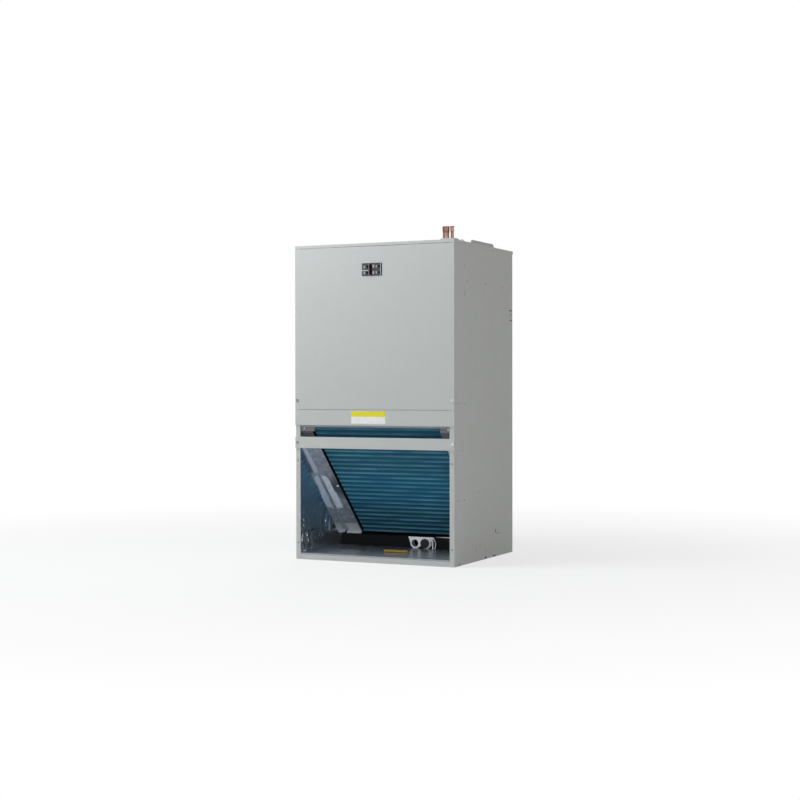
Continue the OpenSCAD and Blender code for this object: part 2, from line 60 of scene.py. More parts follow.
# The coil leans back; its face has one ripple for each row of tubes
COIL_SLOPE = math.radians(46.5)
COIL_DEPTH = 66 * MM
TUBE_ROWS = 25
ROW_PITCH = 19.5 * MM
RIPPLE = 6 * MM
FIN_PITCH = 2.1 * MM
FIN_THICKNESS = 0.3 * MM
PLATE_FRONT = 8 * MM
COIL_TOP = Vector((0, COIL[0].y - RIPPLE * math.sin(COIL_SLOPE),
                   COIL[1].z - (COIL_DEPTH - RIPPLE) * math.cos(COIL_SLOPE)))


def shade(red, green, blue):
    """A colour as it reads on screen, 0 to 255 a channel, turned into linear light."""
    def linear(level):
        level = level / 255
        return level / 12.92 if level <= 0.04045 else ((level + 0.055) / 1.055) ** 2.4
    return (linear(red), linear(green), linear(blue), 1.0)


class Reading:
    """One value in a finish. Arithmetic on readings adds Math nodes."""

    def __init__(self, finish, socket):
        self.finish = finish
        self.socket = socket

    def math(self, operation, *values):
        return self.finish.node("ShaderNodeMath", {"operation": operation}, dict(enumerate(values)))

    def __add__(self, other):
        return self.math("ADD", self, other)

    def __radd__(self, other):
        return self.math("ADD", other, self)

    def __sub__(self, other):
        return self.math("SUBTRACT", self, other)

    def __rsub__(self, other):
        return self.math("SUBTRACT", other, self)

    def __mul__(self, other):
        return self.math("MULTIPLY", self, other)

    def __rmul__(self, other):
        return self.math("MULTIPLY", other, self)

    def __truediv__(self, other):
        return self.math("DIVIDE", self, other)

    def __rtruediv__(self, other):
        return self.math("DIVIDE", other, self)

    def __or__(self, other):
        return self.math("MAXIMUM", self, other)

    def __ror__(self, other):
        return self.math("MAXIMUM", other, self)


class Finish:
    """A material, or the studio round the unit, while it is made up of nodes."""

    def __init__(self, name, family=bpy.data.materials):
        self.material = family.new(name)
        self.material.use_nodes = True
        self.tree = self.material.node_tree
        self.tree.nodes.clear()

    def node(self, kind, settings=None, sockets=None, output=0):
        """Adds any node: its settings first, then the values or readings of its sockets."""
        made = self.tree.nodes.new(kind)
        for name, value in (settings or {}).items():
            if name == "stops":
                self.set_stops(made.color_ramp.elements, value)
            else:
                setattr(made, name, value)
        for name, value in (sockets or {}).items():
            if isinstance(value, Reading):
                self.tree.links.new(value.socket, made.inputs[name])
            else:
                made.inputs[name].default_value = value
        return Reading(self, made.outputs[output]) if made.outputs else None

    def set_stops(self, elements, stops):
        while len(elements) < len(stops):
            elements.new(1.0)
        for element, (place, colour) in zip(elements, stops):
            element.position = place
            element.color = colour

    def place(self):
        """Where a point of the surface is on the unit, in metres."""
        return self.node("ShaderNodeTexCoord", output="Object")

    def stretched(self, along):
        """The place on the unit with each axis scaled, for grain that runs one way."""
        return self.node("ShaderNodeVectorMath", {"operation": "MULTIPLY"}, {0: self.place(), 1: along})

    def cloud(self, scale, detail=2.0, where=None):
        """Soft noise from 0 to 1, with a given number of spots to the metre."""
        sockets = {"Vector": where or self.place(), "Scale": scale, "Detail": detail}
        return self.node("ShaderNodeTexNoise", {}, sockets)

    def cells(self, scale, feature="F1", output="Distance", where=None):
        """Crystal-like cells, with a given number of them to the metre."""
        sockets = {"Vector": where or self.place(), "Scale": scale}
        return self.node("ShaderNodeTexVoronoi", {"feature": feature}, sockets, output)

    def ramp(self, value, *stops):
        """A value read off a scale of greys: each stop is a place and a level."""
        greys = [(place, (level, level, level, 1.0)) for place, level in stops]
        return self.node("ShaderNodeValToRGB", {"stops": greys}, {0: value})

    def axis(self, name):
        """One coordinate of the place on the unit."""
        return self.node("ShaderNodeSeparateXYZ", {}, {0: self.place()}, name)

    def before_plate(self):
        """How far a point lies in front of the face of the block-off plates."""
        back = self.axis("Y") - COIL_TOP.y
        rise = self.axis("Z") - COIL_TOP.z
        return -PLATE_FRONT - back * math.sin(COIL_SLOPE) - rise * math.cos(COIL_SLOPE)

    def down_coil(self):
        """How far a point lies down the slope of the coil."""
        back = self.axis("Y") - COIL_TOP.y
        fall = COIL_TOP.z - self.axis("Z")
        return back * math.cos(COIL_SLOPE) + fall * math.sin(COIL_SLOPE)

    def mix(self, share, first, second):
        """A colour between two others."""
        return self.node("ShaderNodeMix", {"data_type": "RGBA"}, {0: share, 6: first, 7: second}, 2)

    def bump(self, height, distance, strength=1.0, under=None):
        """A relief whose full height is a distance in metres, over another relief if there is one."""
        sockets = {"Height": height, "Distance": distance, "Strength": strength}
        if under:
            sockets["Normal"] = under
        return self.node("ShaderNodeBump", {}, sockets)

    def surface(self, sockets):
        """Closes the finish with a surface shader."""
        shader = self.node("ShaderNodeBsdfPrincipled", {}, sockets)
        self.node("ShaderNodeOutputMaterial", {}, {"Surface": shader})
        return self.material


# Finishes: the plates have a painted dark reflection round a point, and painted shade above a height, where
# they stand in the filter slot
PAINTED_REFLECTION_SPOT = (-212 * MM, -50 * MM, 215 * MM)
SLOT_SHADE_HEIGHT = 370 * MM
SLOT_SHADE_DARK, SLOT_SHADE_LIGHT = shade(80, 81, 86), shade(96, 97, 101)

# Above the hanger tab, whose mirror image slants away from the plate, the pale strip of foil is narrower;
# that pale strip is a painted reflection of the plate
STRIP_STEP = 19 * MM
MIRROR_SLANT = 1.06


def grey_enamel():
    """Baked light grey paint on thin steel sheet, with a fine orange peel and slightly wavy panels."""
    paint = Finish("grey_enamel")
    drift = paint.cloud(2.6, 3.0)
    dust_and_shade = paint.cloud(38.0, 4.0)
    peel = paint.cloud(620.0, 2.0)
    tone = paint.mix(drift, shade(171, 174, 172), shade(177, 178, 177))
    tone = paint.mix(paint.ramp(dust_and_shade, (0.42, 0.0), (0.75, 0.18)), tone, shade(164, 165, 160))
    sheet = paint.bump(paint.cloud(5.0, 1.0), 0.9 * MM, 0.5)
    return paint.surface({
        "Base Color": tone,
        "Roughness": 0.36 + drift * 0.08 + dust_and_shade * 0.06,
        "Specular IOR Level": 0.42,
        "Normal": paint.bump(peel, 0.05 * MM, 0.6, sheet),
    })


def galvanised_sheet(name, dark, light, metal, shaded_above=None, painted_reflection_spot=None):
    """Zinc-coated steel with spangle and streaks. It may have painted shade above a height, or a painted
    dark reflection round a point.
    """
    zinc = Finish(name)
    crystal = zinc.cells(115.0, output="Color")
    grain = zinc.node("ShaderNodeSeparateColor", {}, {0: crystal}, "Red")
    streak = zinc.cloud(30.0, 3.0, zinc.stretched((1.0, 6.0, 6.0)))
    stain = zinc.cloud(9.0, 4.0)
    tone = zinc.mix(grain, dark, light)
    tone = zinc.mix(zinc.ramp(stain, (0.45, 0.0), (0.8, 0.4)), tone, dark)
    # Painted shade: above the height the zinc turns darker and less metallic, where the sheet stands in the
    # shade of the filter slot
    if shaded_above:
        dust_and_shade = zinc.ramp(zinc.axis("Z") - shaded_above, (0.0, 0.0), (2 * MM, 1.0))
        tone = zinc.mix(dust_and_shade, tone, zinc.mix(stain, SLOT_SHADE_DARK, SLOT_SHADE_LIGHT))
        metal = metal * (1 - 0.85 * dust_and_shade)
    # Painted reflection: a dark patch round the point stands in for the dark fins that the plate mirrors
    if painted_reflection_spot:
        ends = {0: zinc.place(), 1: painted_reflection_spot}
        away = zinc.node("ShaderNodeVectorMath", {"operation": "DISTANCE"}, ends, "Value")
        tone = zinc.mix(zinc.ramp(away, (20 * MM, 0.75), (60 * MM, 0.0)), tone, shade(70, 80, 94))
    return zinc.surface({
        "Base Color": tone,
        "Metallic": metal,
        "Roughness": 0.36 + grain * 0.12 + streak * 0.08,
        "Normal": zinc.bump(streak * 0.6 + grain * 0.4, 0.08 * MM, 0.5),
    })


def foil_facing(name, metal, gloss, dark, light, on_wall=False):
    """Aluminium foil with fine creases. On a wall it is pale and less metallic along the plates, a painted
    reflection of the plates, with a teal tint next to that strip above the tab, a painted reflection of the
    coil, and dark wool behind it.
    """
    foil = Finish(name)
    crease = foil.cells(70.0, "SMOOTH_F1", where=foil.stretched((1.0, 1.0, 0.55)))
    fine = foil.cloud(160.0, 3.0)
    wave = foil.cloud(12.0, 2.0)
    tone = foil.mix(foil.cloud(20.0, 4.0), dark, light)
    relief = foil.bump(wave, 0.4 * MM, 0.3)
    relief = foil.bump(crease * 0.7 + fine * 0.3, 0.12 * MM, 0.3, relief)
    if on_wall:
        across = foil.axis("X")
        behind = across.math("ABSOLUTE", across) - (RIGHT_LINING[1].x - 0.12 * MM)
        wool = foil.ramp(behind / (0.1 * MM), (0.0, 0.0), (1.0, 1.0))
        gap = foil.before_plate()
        mirrored = foil.down_coil() + gap * MIRROR_SLANT
        above_tab = foil.ramp(mirrored, (190 * MM, 1.0), (212 * MM, 0.0))
        dulled = foil.ramp(gap, (38 * MM, 0.0), (70 * MM, 1.0))
        # Painted reflection: the pale, less metallic strip along the plate stands in for the plate's mirror
        # image
        painted_plate_reflection = foil.ramp(gap + above_tab * STRIP_STEP, (36 * MM, 1.0), (44 * MM, 0.0))
        # Painted reflection: a teal tint next to the pale strip, above the tab, stands in for the mirrored
        # coil
        painted_coil_reflection = foil.ramp(gap, (18 * MM, 0.0), (24 * MM, 0.9), (38 * MM, 0.9), (44 * MM, 0.0))
        tone = foil.mix(painted_coil_reflection * above_tab, tone, shade(104, 142, 166))
        tone = foil.mix(wool, tone, shade(46, 44, 41))
        metal = metal * (1 - wool) * (1 - painted_plate_reflection * (0.12 + above_tab * 0.6))
        gloss = gloss + dulled * 0.14 + wool * 0.6
    return foil.surface({
        "Base Color": tone,
        "Metallic": metal,
        "Roughness": gloss + fine * 0.05,
        "Normal": relief,
    })


def blue_fin_coating():
    """Aluminium fins with a blue-green coating, with painted light and shade: a painted highlight on each
    crest, painted shade in the hollows that grows further down, a painted light band at mid height and
    painted shade at the top.
    """
    coat = Finish("blue_fin_coating")
    down = coat.down_coil()
    wave = down * (2 * math.pi / ROW_PITCH)
    crest = 0.5 - 0.5 * wave.math("COSINE", wave)
    streak = coat.cloud(16.0, 4.0, coat.stretched((0.5, 6.0, 6.0)))
    patch = coat.cloud(12.0, 3.0, coat.stretched((0.8, 3.0, 3.0)))
    # Painted highlight: a bright streak on each crest of the ripple
    painted_crest_highlight = coat.ramp(crest, (0.7, 0.0), (0.97, 1.0)) * coat.ramp(streak, (0.34, 0.1), (0.62, 1.0))
    # Painted shade: darker hollows, more so further down the slope
    shade_growing_down = coat.ramp(down, (0.2, 0.35), (0.45, 0.95))
    painted_hollow_shade = coat.ramp(crest, (0.05, 1.0), (0.6, 0.0)) * shade_growing_down
    tone = coat.mix(coat.ramp(patch, (0.4, 0.0), (0.62, 1.0)), shade(74, 142, 184), shade(66, 154, 174))
    # Painted light: a brighter band at mid height of the coil
    middle = coat.ramp(down, (0.18, 0.0), (0.25, 0.6), (0.33, 0.6), (0.4, 0.0))
    # Painted shade: darker fins at the top, in the filter slot
    painted_top_shade = coat.ramp(down, (0.04, 0.3), (0.09, 0.0))
    tone = coat.mix(middle, tone, shade(66, 172, 214))
    tone = coat.mix(painted_crest_highlight, tone, shade(160, 228, 244))
    tone = coat.mix(painted_hollow_shade, tone, shade(20, 62, 90))
    tone = coat.mix(painted_top_shade, tone, shade(36, 92, 118))
    return coat.surface({
        "Base Color": tone,
        "Metallic": 0.3,
        "Roughness": 0.32 + streak * 0.18,
        "Normal": coat.bump(coat.cloud(420.0, 2.0), 0.05 * MM, 0.4),
    })


def copper_tube():
    """Drawn copper, dulled brown in patches, with lines along the tube and broad dark stripes along it that
    are a painted reflection.
    """
    copper = Finish("copper_tube")
    drawn = copper.cloud(260.0, 2.0, copper.stretched((1.0, 1.0, 0.04)))
    tarnish = copper.cloud(60.0, 4.0)
    # Painted reflection: broad dark stripes along the tube stand in for the dark surroundings it mirrors
    painted_dark_reflection = copper.cloud(70.0, 1.0, copper.stretched((1.0, 1.0, 0.1)))
    brown = copper.ramp(tarnish, (0.38, 0.0), (0.72, 1.0))
    tone = copper.mix(brown, shade(158, 120, 106), shade(108, 84, 74))
    tone = copper.mix(copper.ramp(painted_dark_reflection, (0.46, 0.0), (0.58, 0.75)), tone, shade(74, 58, 50))
    return copper.surface({
        "Base Color": tone,
        "Metallic": 0.95,
        "Roughness": 0.26 + tarnish * 0.2 + drawn * 0.06,
        "Normal": copper.bump(drawn, 0.04 * MM, 0.5),
    })


def heated_copper(name, bright, sooty):
    """Copper that has been near a flame: dark red-brown scale."""
    scale = Finish(name)
    soot = scale.cloud(140.0, 4.0)
    return scale.surface({
        "Base Color": scale.mix(soot, bright, sooty),
        "Metallic": 0.7,
        "Roughness": 0.42 + soot * 0.2,
        "Normal": scale.bump(soot, 0.1 * MM, 0.5),
    })


def moulded(name, dark, light, roughness, gloss=0.5, grain=420.0, depth=0.06 * MM):
    """Moulded plastic: two close tones and a fine grain."""
    plastic = Finish(name)
    haze = plastic.cloud(24.0, 3.0)
    pores = plastic.cloud(grain, 2.0)
    return plastic.surface({
        "Base Color": plastic.mix(haze, dark, light),
        "Roughness": roughness + haze * 0.1,
        "Specular IOR Level": gloss,
        "Normal": plastic.bump(pores, depth, 0.5),
    })


def printed_film(name, tone, faded):
    """A bare adhesive film, a little faded and scuffed."""
    film = Finish(name)
    scuff = film.cloud(90.0, 4.0)
    return film.surface({
        "Base Color": film.mix(film.ramp(scuff, (0.4, 0.0), (0.8, 1.0)), tone, faded),
        "Roughness": 0.34 + scuff * 0.16,
        "Normal": film.bump(film.cloud(180.0, 2.0), 0.04 * MM, 0.4),
    })


def plated_steel(name, dark, light):
    """Plated steel of small screws and strips."""
    plate = Finish(name)
    wear = plate.cloud(700.0, 3.0)
    return plate.surface({
        "Base Color": plate.mix(wear, dark, light),
        "Metallic": 0.9,
        "Roughness": 0.28 + wear * 0.14,
        "Normal": plate.bump(wear, 0.03 * MM, 0.4),
    })


FINISHES = {
    "cabinet_paint": grey_enamel(),
    "galvanised": galvanised_sheet("galvanised_sheet", shade(150, 156, 168), shade(186, 191, 201), 0.66),
    "foil": foil_facing("bright_foil", 0.94, 0.06, shade(204, 214, 224), shade(228, 234, 240), True),
    "fin_coating": blue_fin_coating(),
    "copper": copper_tube(),
    "pan_plastic": moulded("black_pan_plastic", shade(12, 13, 14), shade(20, 21, 22), 0.6, 0.12),
    "fitting_plastic": moulded("pale_fitting_plastic", shade(240, 242, 244), shade(250, 251, 252), 0.34),
    "breaker_plastic": moulded("breaker_plastic", shade(34, 36, 38), shade(48, 50, 53), 0.4),
    "motor_paint": moulded("motor_paint", shade(30, 31, 33), shade(44, 45, 47), 0.42),
}
FLOOR_FINISH = foil_facing("dull_floor_foil", 0.52, 0.22, shade(134, 137, 144), shade(160, 163, 169))
# Painted shade: the baffle at the top of the filter slot is a darker, duller copy of the zinc
SHADED_BAFFLE_FINISH = galvanised_sheet("shaded_baffle_zinc", shade(110, 115, 123), shade(126, 131, 138), 0.2)
PLATE_FINISH = galvanised_sheet("block_off_zinc", shade(158, 166, 180), shade(196, 203, 214), 0.66,
                                SLOT_SHADE_HEIGHT, PAINTED_REFLECTION_SPOT)
# Painted light: the tab is bent from the plate's own sheet, but lighter and less metallic than the plate
LIT_TAB_FINISH = galvanised_sheet("lit_tab_zinc", shade(206, 219, 229), shade(226, 235, 242), 0.2)
SCREW_STEEL = plated_steel("zinc_screw", shade(170, 172, 176), shade(205, 206, 208))
DULL_STEEL = plated_steel("dull_zinc_screw", shade(150, 152, 156), shade(182, 184, 188))
# Painted shade: a darker copy of the screw steel, for the screws on the left
SHADED_SCREW_STEEL = plated_steel("shaded_zinc_screw", shade(108, 110, 114), shade(136, 138, 142))
# Painted shade: a grey copy of the pale fitting plastic, for the inside of the open port
SHADED_PORT_GREY = moulded("port_bore_shade_grey", shade(122, 124, 127), shade(142, 144, 147), 0.55, 0.2)
FLAME_COPPER = heated_copper("heated_copper", shade(120, 58, 52), shade(74, 46, 44))
RIM_COPPER = heated_copper("red_rim_copper", shade(168, 72, 78), shade(126, 58, 60))
BUNG_RUBBER = moulded("bung_rubber", shade(12, 13, 16), shade(36, 39, 45), 0.45, 0.3, 260.0, 0.3 * MM)
TAPE_FOIL = foil_facing("foil_tape", 0.25, 0.26, shade(186, 190, 193), shade(222, 226, 228))
# Painted shade: near-black foam that stands in for the shadow gap at the plate's edge
SHADOW_FOAM = moulded("shadow_black_foam", shade(7, 8, 10), shade(14, 15, 18), 0.8, 0.1, 900.0, 0.2 * MM)
# Painted shade: dark pads for the shaded openings in the side
DARK_MARK = moulded("dark_mark", shade(62, 63, 64), shade(84, 85, 86), 0.6)
GREY_PAD = moulded("breaker_grey_pad", shade(128, 131, 136), shade(150, 153, 158), 0.5)
TAN_WINDOW = moulded("breaker_tan_window", shade(170, 154, 130), shade(182, 166, 144), 0.45)
PINK_WINDOW = moulded("breaker_pink_window", shade(184, 154, 164), shade(194, 166, 175), 0.45)
ROSE_STRIP = moulded("breaker_rose_strip", shade(112, 102, 108), shade(128, 117, 123), 0.5)
PALE_LINE = moulded("breaker_pale_line", shade(166, 170, 174), shade(182, 186, 190), 0.5)
# Black of the breaker handle; on the terminal well floors it is painted shade
DEEP_BLACK = moulded("breaker_well_black", shade(4, 5, 6), shade(10, 11, 12), 0.6, 0.08)
YELLOW_FILM = printed_film("yellow_film", shade(208, 199, 14), shade(200, 191, 30))
WHITE_FILM = printed_film("white_film", shade(220, 216, 213), shade(210, 206, 203))
AMBER_FILM = printed_film("amber_film", shade(178, 142, 40), shade(160, 130, 60))


# Mesh tools; edges sharper than the crease angle stay sharp on a smoothed piece
CREASE = math.radians(40)


class Bench:
    """A flat place on the unit, with its own right, up and outward directions."""

    def __init__(self, at, right, up):
        self.at = Vector(at)
        self.right = Vector(right)
        self.up = Vector(up)
        self.out = self.right.cross(self.up)

    def put(self, across, rise, proud):
        return self.at + self.right * across + self.up * rise + self.out * proud


class Stock:
    """Points and faces of one piece while it is built up."""

    def __init__(self):
        self.points = []
        self.faces = []

    def skin(self, rings, capped=True):
        """Joins rings of equal length, one after another, and caps both ends."""
        first = len(self.points)
        count = len(rings[0])
        for ring in rings:
            self.points.extend(ring)
        for row in range(len(rings) - 1):
            low = first + row * count
            for place in range(count):
                after = (place + 1) % count
                self.faces.append((low + place, low + after, low + count + after, low + count + place))
        if capped:
            last = first + (len(rings) - 1) * count
            self.faces.append(tuple(range(first + count - 1, first - 1, -1)))
            self.faces.append(tuple(range(last, last + count)))

    def stack(self, bench, layers):
        """A solid built outward from a bench: each layer is an outline and its height."""
        rings = []
        for outline, proud in layers:
            rings.append([bench.put(across, rise, proud) for across, rise in outline])
        self.skin(rings)

    def hoop(self, bench, profile, steps=32):
        """A ring turned about the middle of a bench from a closed profile of radii and heights."""
        first = len(self.points)
        for radius, proud in profile:
            self.points.extend(bench.put(across, rise, proud) for across, rise in circle(radius, steps))
        for row in range(len(profile)):
            low = first + row * steps
            high = first + (row + 1) % len(profile) * steps
            for place in range(steps):
                after = (place + 1) % steps
                self.faces.append((low + place, low + after, high + after, high + place))

    def piece(self, name, finish, slot, smooth_angle=None):
        """Turns the stock into an object that rides on the unit."""
        mesh = bpy.data.meshes.new(name)
        mesh.from_pydata([tuple(point) for point in self.points], [], self.faces)
        form = bmesh.new()
        form.from_mesh(mesh)
        bmesh.ops.recalc_face_normals(form, faces=form.faces)
        if smooth_angle is not None:
            for face in form.faces:
                face.smooth = True
            for edge in form.edges:
                edge.smooth = len(edge.link_faces) == 2 and edge.calc_face_angle() < smooth_angle
        form.to_mesh(mesh)
        form.free()
        mesh.materials.append(finish)
        made = bpy.data.objects.new(name, mesh)
        bpy.context.scene.collection.objects.link(made)
        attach(made, "root")
        return made


def circle(radius, steps=24, at=(0, 0)):
    turns = [2 * math.pi * step / steps for step in range(steps)]
    return [(at[0] + radius * math.cos(turn), at[1] + radius * math.sin(turn)) for turn in turns]


def hexagon(flats, steps=24, at=(0, 0)):
    """A hexagon with as many points as a circle, so that the two can be joined."""
    sixth = math.pi / 3
    outline = []
    for step in range(steps):
        turn = 2 * math.pi * step / steps
        reach = flats / 2 / math.cos(turn % sixth - sixth / 2)
        outline.append((at[0] + reach * math.cos(turn), at[1] + reach * math.sin(turn)))
    return outline


def rounded(left, low, right, high, radius, steps=4):
    """A rectangle with rounded corners."""
    outline = []
    corners = [(right - radius, high - radius), (left + radius, high - radius),
               (left + radius, low + radius), (right - radius, low + radius)]
    for quarter, (across, rise) in enumerate(corners):
        for step in range(steps + 1):
            turn = (quarter + step / steps) * math.pi / 2
            outline.append((across + radius * math.cos(turn), rise + radius * math.sin(turn)))
    return outline


def screw(stock, bench, across, rise, size=1.0):
    """A hexagon washer head with a dished top, as used on sheet steel."""
    at = (across, rise)
    washer, flats, height = 4.6 * MM * size, 6.4 * MM * size, 2.6 * MM * size
    stock.stack(bench, [
        (circle(washer, at=at), 0),
        (circle(washer, at=at), 0.5 * MM * size),
        (circle(washer * 0.9, at=at), 0.8 * MM * size),
        (hexagon(flats, at=at), 0.8 * MM * size),
        (hexagon(flats, at=at), height * 0.88),
        (hexagon(flats * 0.88, at=at), height),
        (circle(flats * 0.32, at=at), height),
        (circle(flats * 0.24, at=at), height * 0.7),
    ])


def pad(stock, bench, left, low, right, high, proud, radius=0.8 * MM):
    """A thin plate with softened edges that stands on a bench."""
    soft = min(0.3 * proud, 0.2 * MM)
    stock.stack(bench, [
        (rounded(left, low, right, high, radius), 0),
        (rounded(left, low, right, high, radius), proud - soft),
        (rounded(left + soft, low + soft, right - soft, high - soft, radius), proud),
    ])


# The coil: separate fins in front of a solid core
def on_coil(across, down, deep):
    """A point of the coil: along its width, down its slope and into its depth."""
    back = down * math.cos(COIL_SLOPE) + deep * math.sin(COIL_SLOPE)
    rise = deep * math.cos(COIL_SLOPE) - down * math.sin(COIL_SLOPE)
    return Vector((across, COIL_TOP.y + back, COIL_TOP.z + rise))


def ripple_depth(down):
    """How far the fins' edge lies behind the crests of the ripple."""
    return RIPPLE * (0.5 + 0.5 * math.cos(2 * math.pi * down / ROW_PITCH))


def build_coil():
    """Thin blue fins, each rippled on its edge and slightly bent, in front of a solid core."""
    steps_per_row = 4
    fin_depth = 12 * MM
    bend = 0.45 * MM
    downs = [step * ROW_PITCH / steps_per_row for step in range(TUBE_ROWS * steps_per_row + 1)]
    fins = Stock()
    width = COIL[1].x - COIL[0].x - 1 * MM
    count = int(width / FIN_PITCH)
    for number in range(count + 1):
        middle = COIL[0].x + 0.5 * MM + number * width / count
        rings = []
        for down in downs:
            sway = bend * noise.noise(Vector((number * 0.21, down * 14, 3.7)))
            left, right = middle + sway - FIN_THICKNESS / 2, middle + sway + FIN_THICKNESS / 2
            front = ripple_depth(down)
            rings.append([on_coil(left, down, front), on_coil(right, down, front),
                          on_coil(middle + FIN_THICKNESS / 2, down, fin_depth),
                          on_coil(middle - FIN_THICKNESS / 2, down, fin_depth)])
        fins.skin(rings)
    core = []
    for across in (COIL[0].x, COIL[1].x):
        ring = [on_coil(across, down, fin_depth - 1 * MM) for down in (downs[0], downs[-1])]
        ring += [on_coil(across, down, COIL_DEPTH - ripple_depth(down)) for down in reversed(downs)]
        core.append(ring)
    fins.skin(core)
    made = fins.piece("coil_blue_fins", FINISHES["fin_coating"], "fin_coating")
    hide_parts("coil_fins")


# Foil facings: real creases on the sides that show
def grid_faces(columns, rows):
    """The squares of a grid of points, row by row."""
    firsts = [row * (columns + 1) + column for row in range(rows) for column in range(columns)]
    return [(first, first + 1, first + columns + 2, first + columns + 1) for first in firsts]


def grid_rim(columns, rows):
    """The points round the edge of a grid, in order."""
    rim = list(range(columns + 1))
    rim += [row * (columns + 1) + columns for row in range(1, rows + 1)]
    rim += [rows * (columns + 1) + column for column in range(columns - 1, -1, -1)]
    return rim + [row * (columns + 1) for row in range(rows - 1, 0, -1)]


def foil_sheet(node, along, up, steps, press, finish=FINISHES["foil"]):
    """A lining whose inner face is pressed in by creases; the rest stays a flat slab."""
    low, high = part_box(node)
    middle = (low + high) / 2
    inward = along.cross(up)
    half = Vector([abs(a) for a in (high - low) / 2])
    reach = [abs(half.dot(axis)) for axis in (along, up, inward)]
    stock = Stock()
    columns, rows = steps
    for row in range(rows + 1):
        for column in range(columns + 1):
            across = reach[0] * (2 * column / columns - 1)
            rise = reach[1] * (2 * row / rows - 1)
            at = middle + along * across + up * rise
            rim = row in (0, rows) or column in (0, columns)
            depth = 0 if rim else press(at)
            stock.points.append(at + inward * (reach[2] - depth))
    stock.faces.extend(grid_faces(columns, rows))
    rim = grid_rim(columns, rows)
    base = len(stock.points)
    for place in rim:
        stock.points.append(stock.points[place] - inward * 2 * reach[2])
    for place in range(len(rim)):
        after = (place + 1) % len(rim)
        stock.faces.append((rim[after], rim[place], base + place, base + after))
    stock.faces.append(tuple(range(base + len(rim) - 1, base - 1, -1)))
    made = stock.piece(node + "_foil", finish, "foil", CREASE)
    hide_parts(node)


def fade(value, full, none):
    """1 at full, 0 at none, smooth between."""
    share = max(0.0, min(1.0, (value - none) / (full - none)))
    return share * share * (3 - 2 * share)


def streaks(across, rise, seed):
    """Sharp upright folds of crushed foil, 0 on the ridges to 1 in the hollows."""
    wide = abs(noise.noise(Vector((across / (11 * MM), rise / (42 * MM), seed))))
    fine = abs(noise.noise(Vector((across / (5 * MM), rise / (17 * MM), seed + 3))))
    return min(1.0, 1.2 * wide + 0.8 * fine)


def build_foil():
    """Left wall bellied beside the plate and crushed low at the front; the others only gently creased."""
    crushed_patches = ((1.0, -188, 66, 56, 112), (0.95, -42, 92, 28, 52),
                       (0.6, -140, 40, 130, 56), (0.35, -140, 110, 90, 60))
    flat_strip, belly_rise, belly_depth, fold_depth = 39 * MM, 71 * MM, 4.7 * MM, 3.2 * MM

    def before_plate(at):
        """How far a point of a wall lies in front of the block-off plate."""
        deep = (at.y - COIL_TOP.y) * math.sin(COIL_SLOPE) + (at.z - COIL_TOP.z) * math.cos(COIL_SLOPE)
        return -deep - PLATE_FRONT

    def patch(at, share, y, z, reach_y, reach_z):
        """The full share at the middle of a crushed patch, 0 outside it. Its place is in millimetres."""
        return share * fade(math.hypot((at.y / MM - y) / reach_y, (at.z / MM - z) / reach_z), 0.3, 1.0)

    def wall(seed, low_front):
        def press(at):
            crushed = max(patch(at, *crushed_patch) for crushed_patch in crushed_patches) * low_front
            gap = before_plate(at)
            near = max(0.0, min(1.0, (gap - flat_strip) / belly_rise))
            belly = (1 - (1 - near) ** 3.1) * fade(gap, 115 * MM, 340 * MM)
            gentle = 0.05 * MM * noise.noise(at * 9 + Vector((seed, 0, 0)))
            folds = crushed * streaks(at.y, at.z, seed) * fold_depth
            return 0.1 * MM + gentle + belly_depth * belly * (1 - crushed) * low_front + folds
        return press

    def level(at):
        gentle = 0.5 * MM * noise.noise(at * 7 + Vector((1.3, 0, 0)))
        left = 0.25 + 0.75 * fade(at.x, -230 * MM, 40 * MM)
        folds = abs(noise.noise(Vector((at.x / (64 * MM), at.y / (13 * MM), 2.2))))
        return 0.5 * MM + gentle + min(1.0, 1.6 * folds) * 2.8 * MM * left

    def plain(at):
        return 0.4 * MM + 0.35 * MM * noise.noise(at * 8)

    foil_sheet("left_lining", Y, Z, (300, 280), wall(5.1, 1.0))
    foil_sheet("right_lining", -Y, Z, (120, 80), wall(8.4, 0.5))
    foil_sheet("base_lining", X, Y, (130, 150), level, FLOOR_FINISH)
    foil_sheet("back_lining", X, Z, (60, 60), plain)


# Screws
def build_screws():
    """Screws of the doors, the rail and the sheet inside."""
    front = Bench((0, BLOWER_DOOR[0].y, 0), X, Z)
    reach, door_height, rail_height, flange_height = 260 * MM, 490 * MM, 361 * MM, 403.8 * MM
    # Lit and shaded copies of one steel: the darker left screws are painted shade, the brighter right ones
    # a painted highlight
    sides = (("left_front_screws", -reach, SHADED_SCREW_STEEL), ("right_front_screws", reach, SCREW_STEEL))
    for name, across, finish in sides:
        stock = Stock()
        screw(stock, front, across, door_height)
        screw(stock, front, across, rail_height, 0.9)
        stock.piece(name, finish, "galvanised", CREASE)
    stock = Stock()
    flange = Bench((0, LEFT_PLATE[0].y, 0), X, Z)
    for across in (-238.7 * MM, 245.6 * MM):
        screw(stock, flange, across, flange_height, 0.6)
    stock.piece("flange_screws", DULL_STEEL, "galvanised", CREASE)


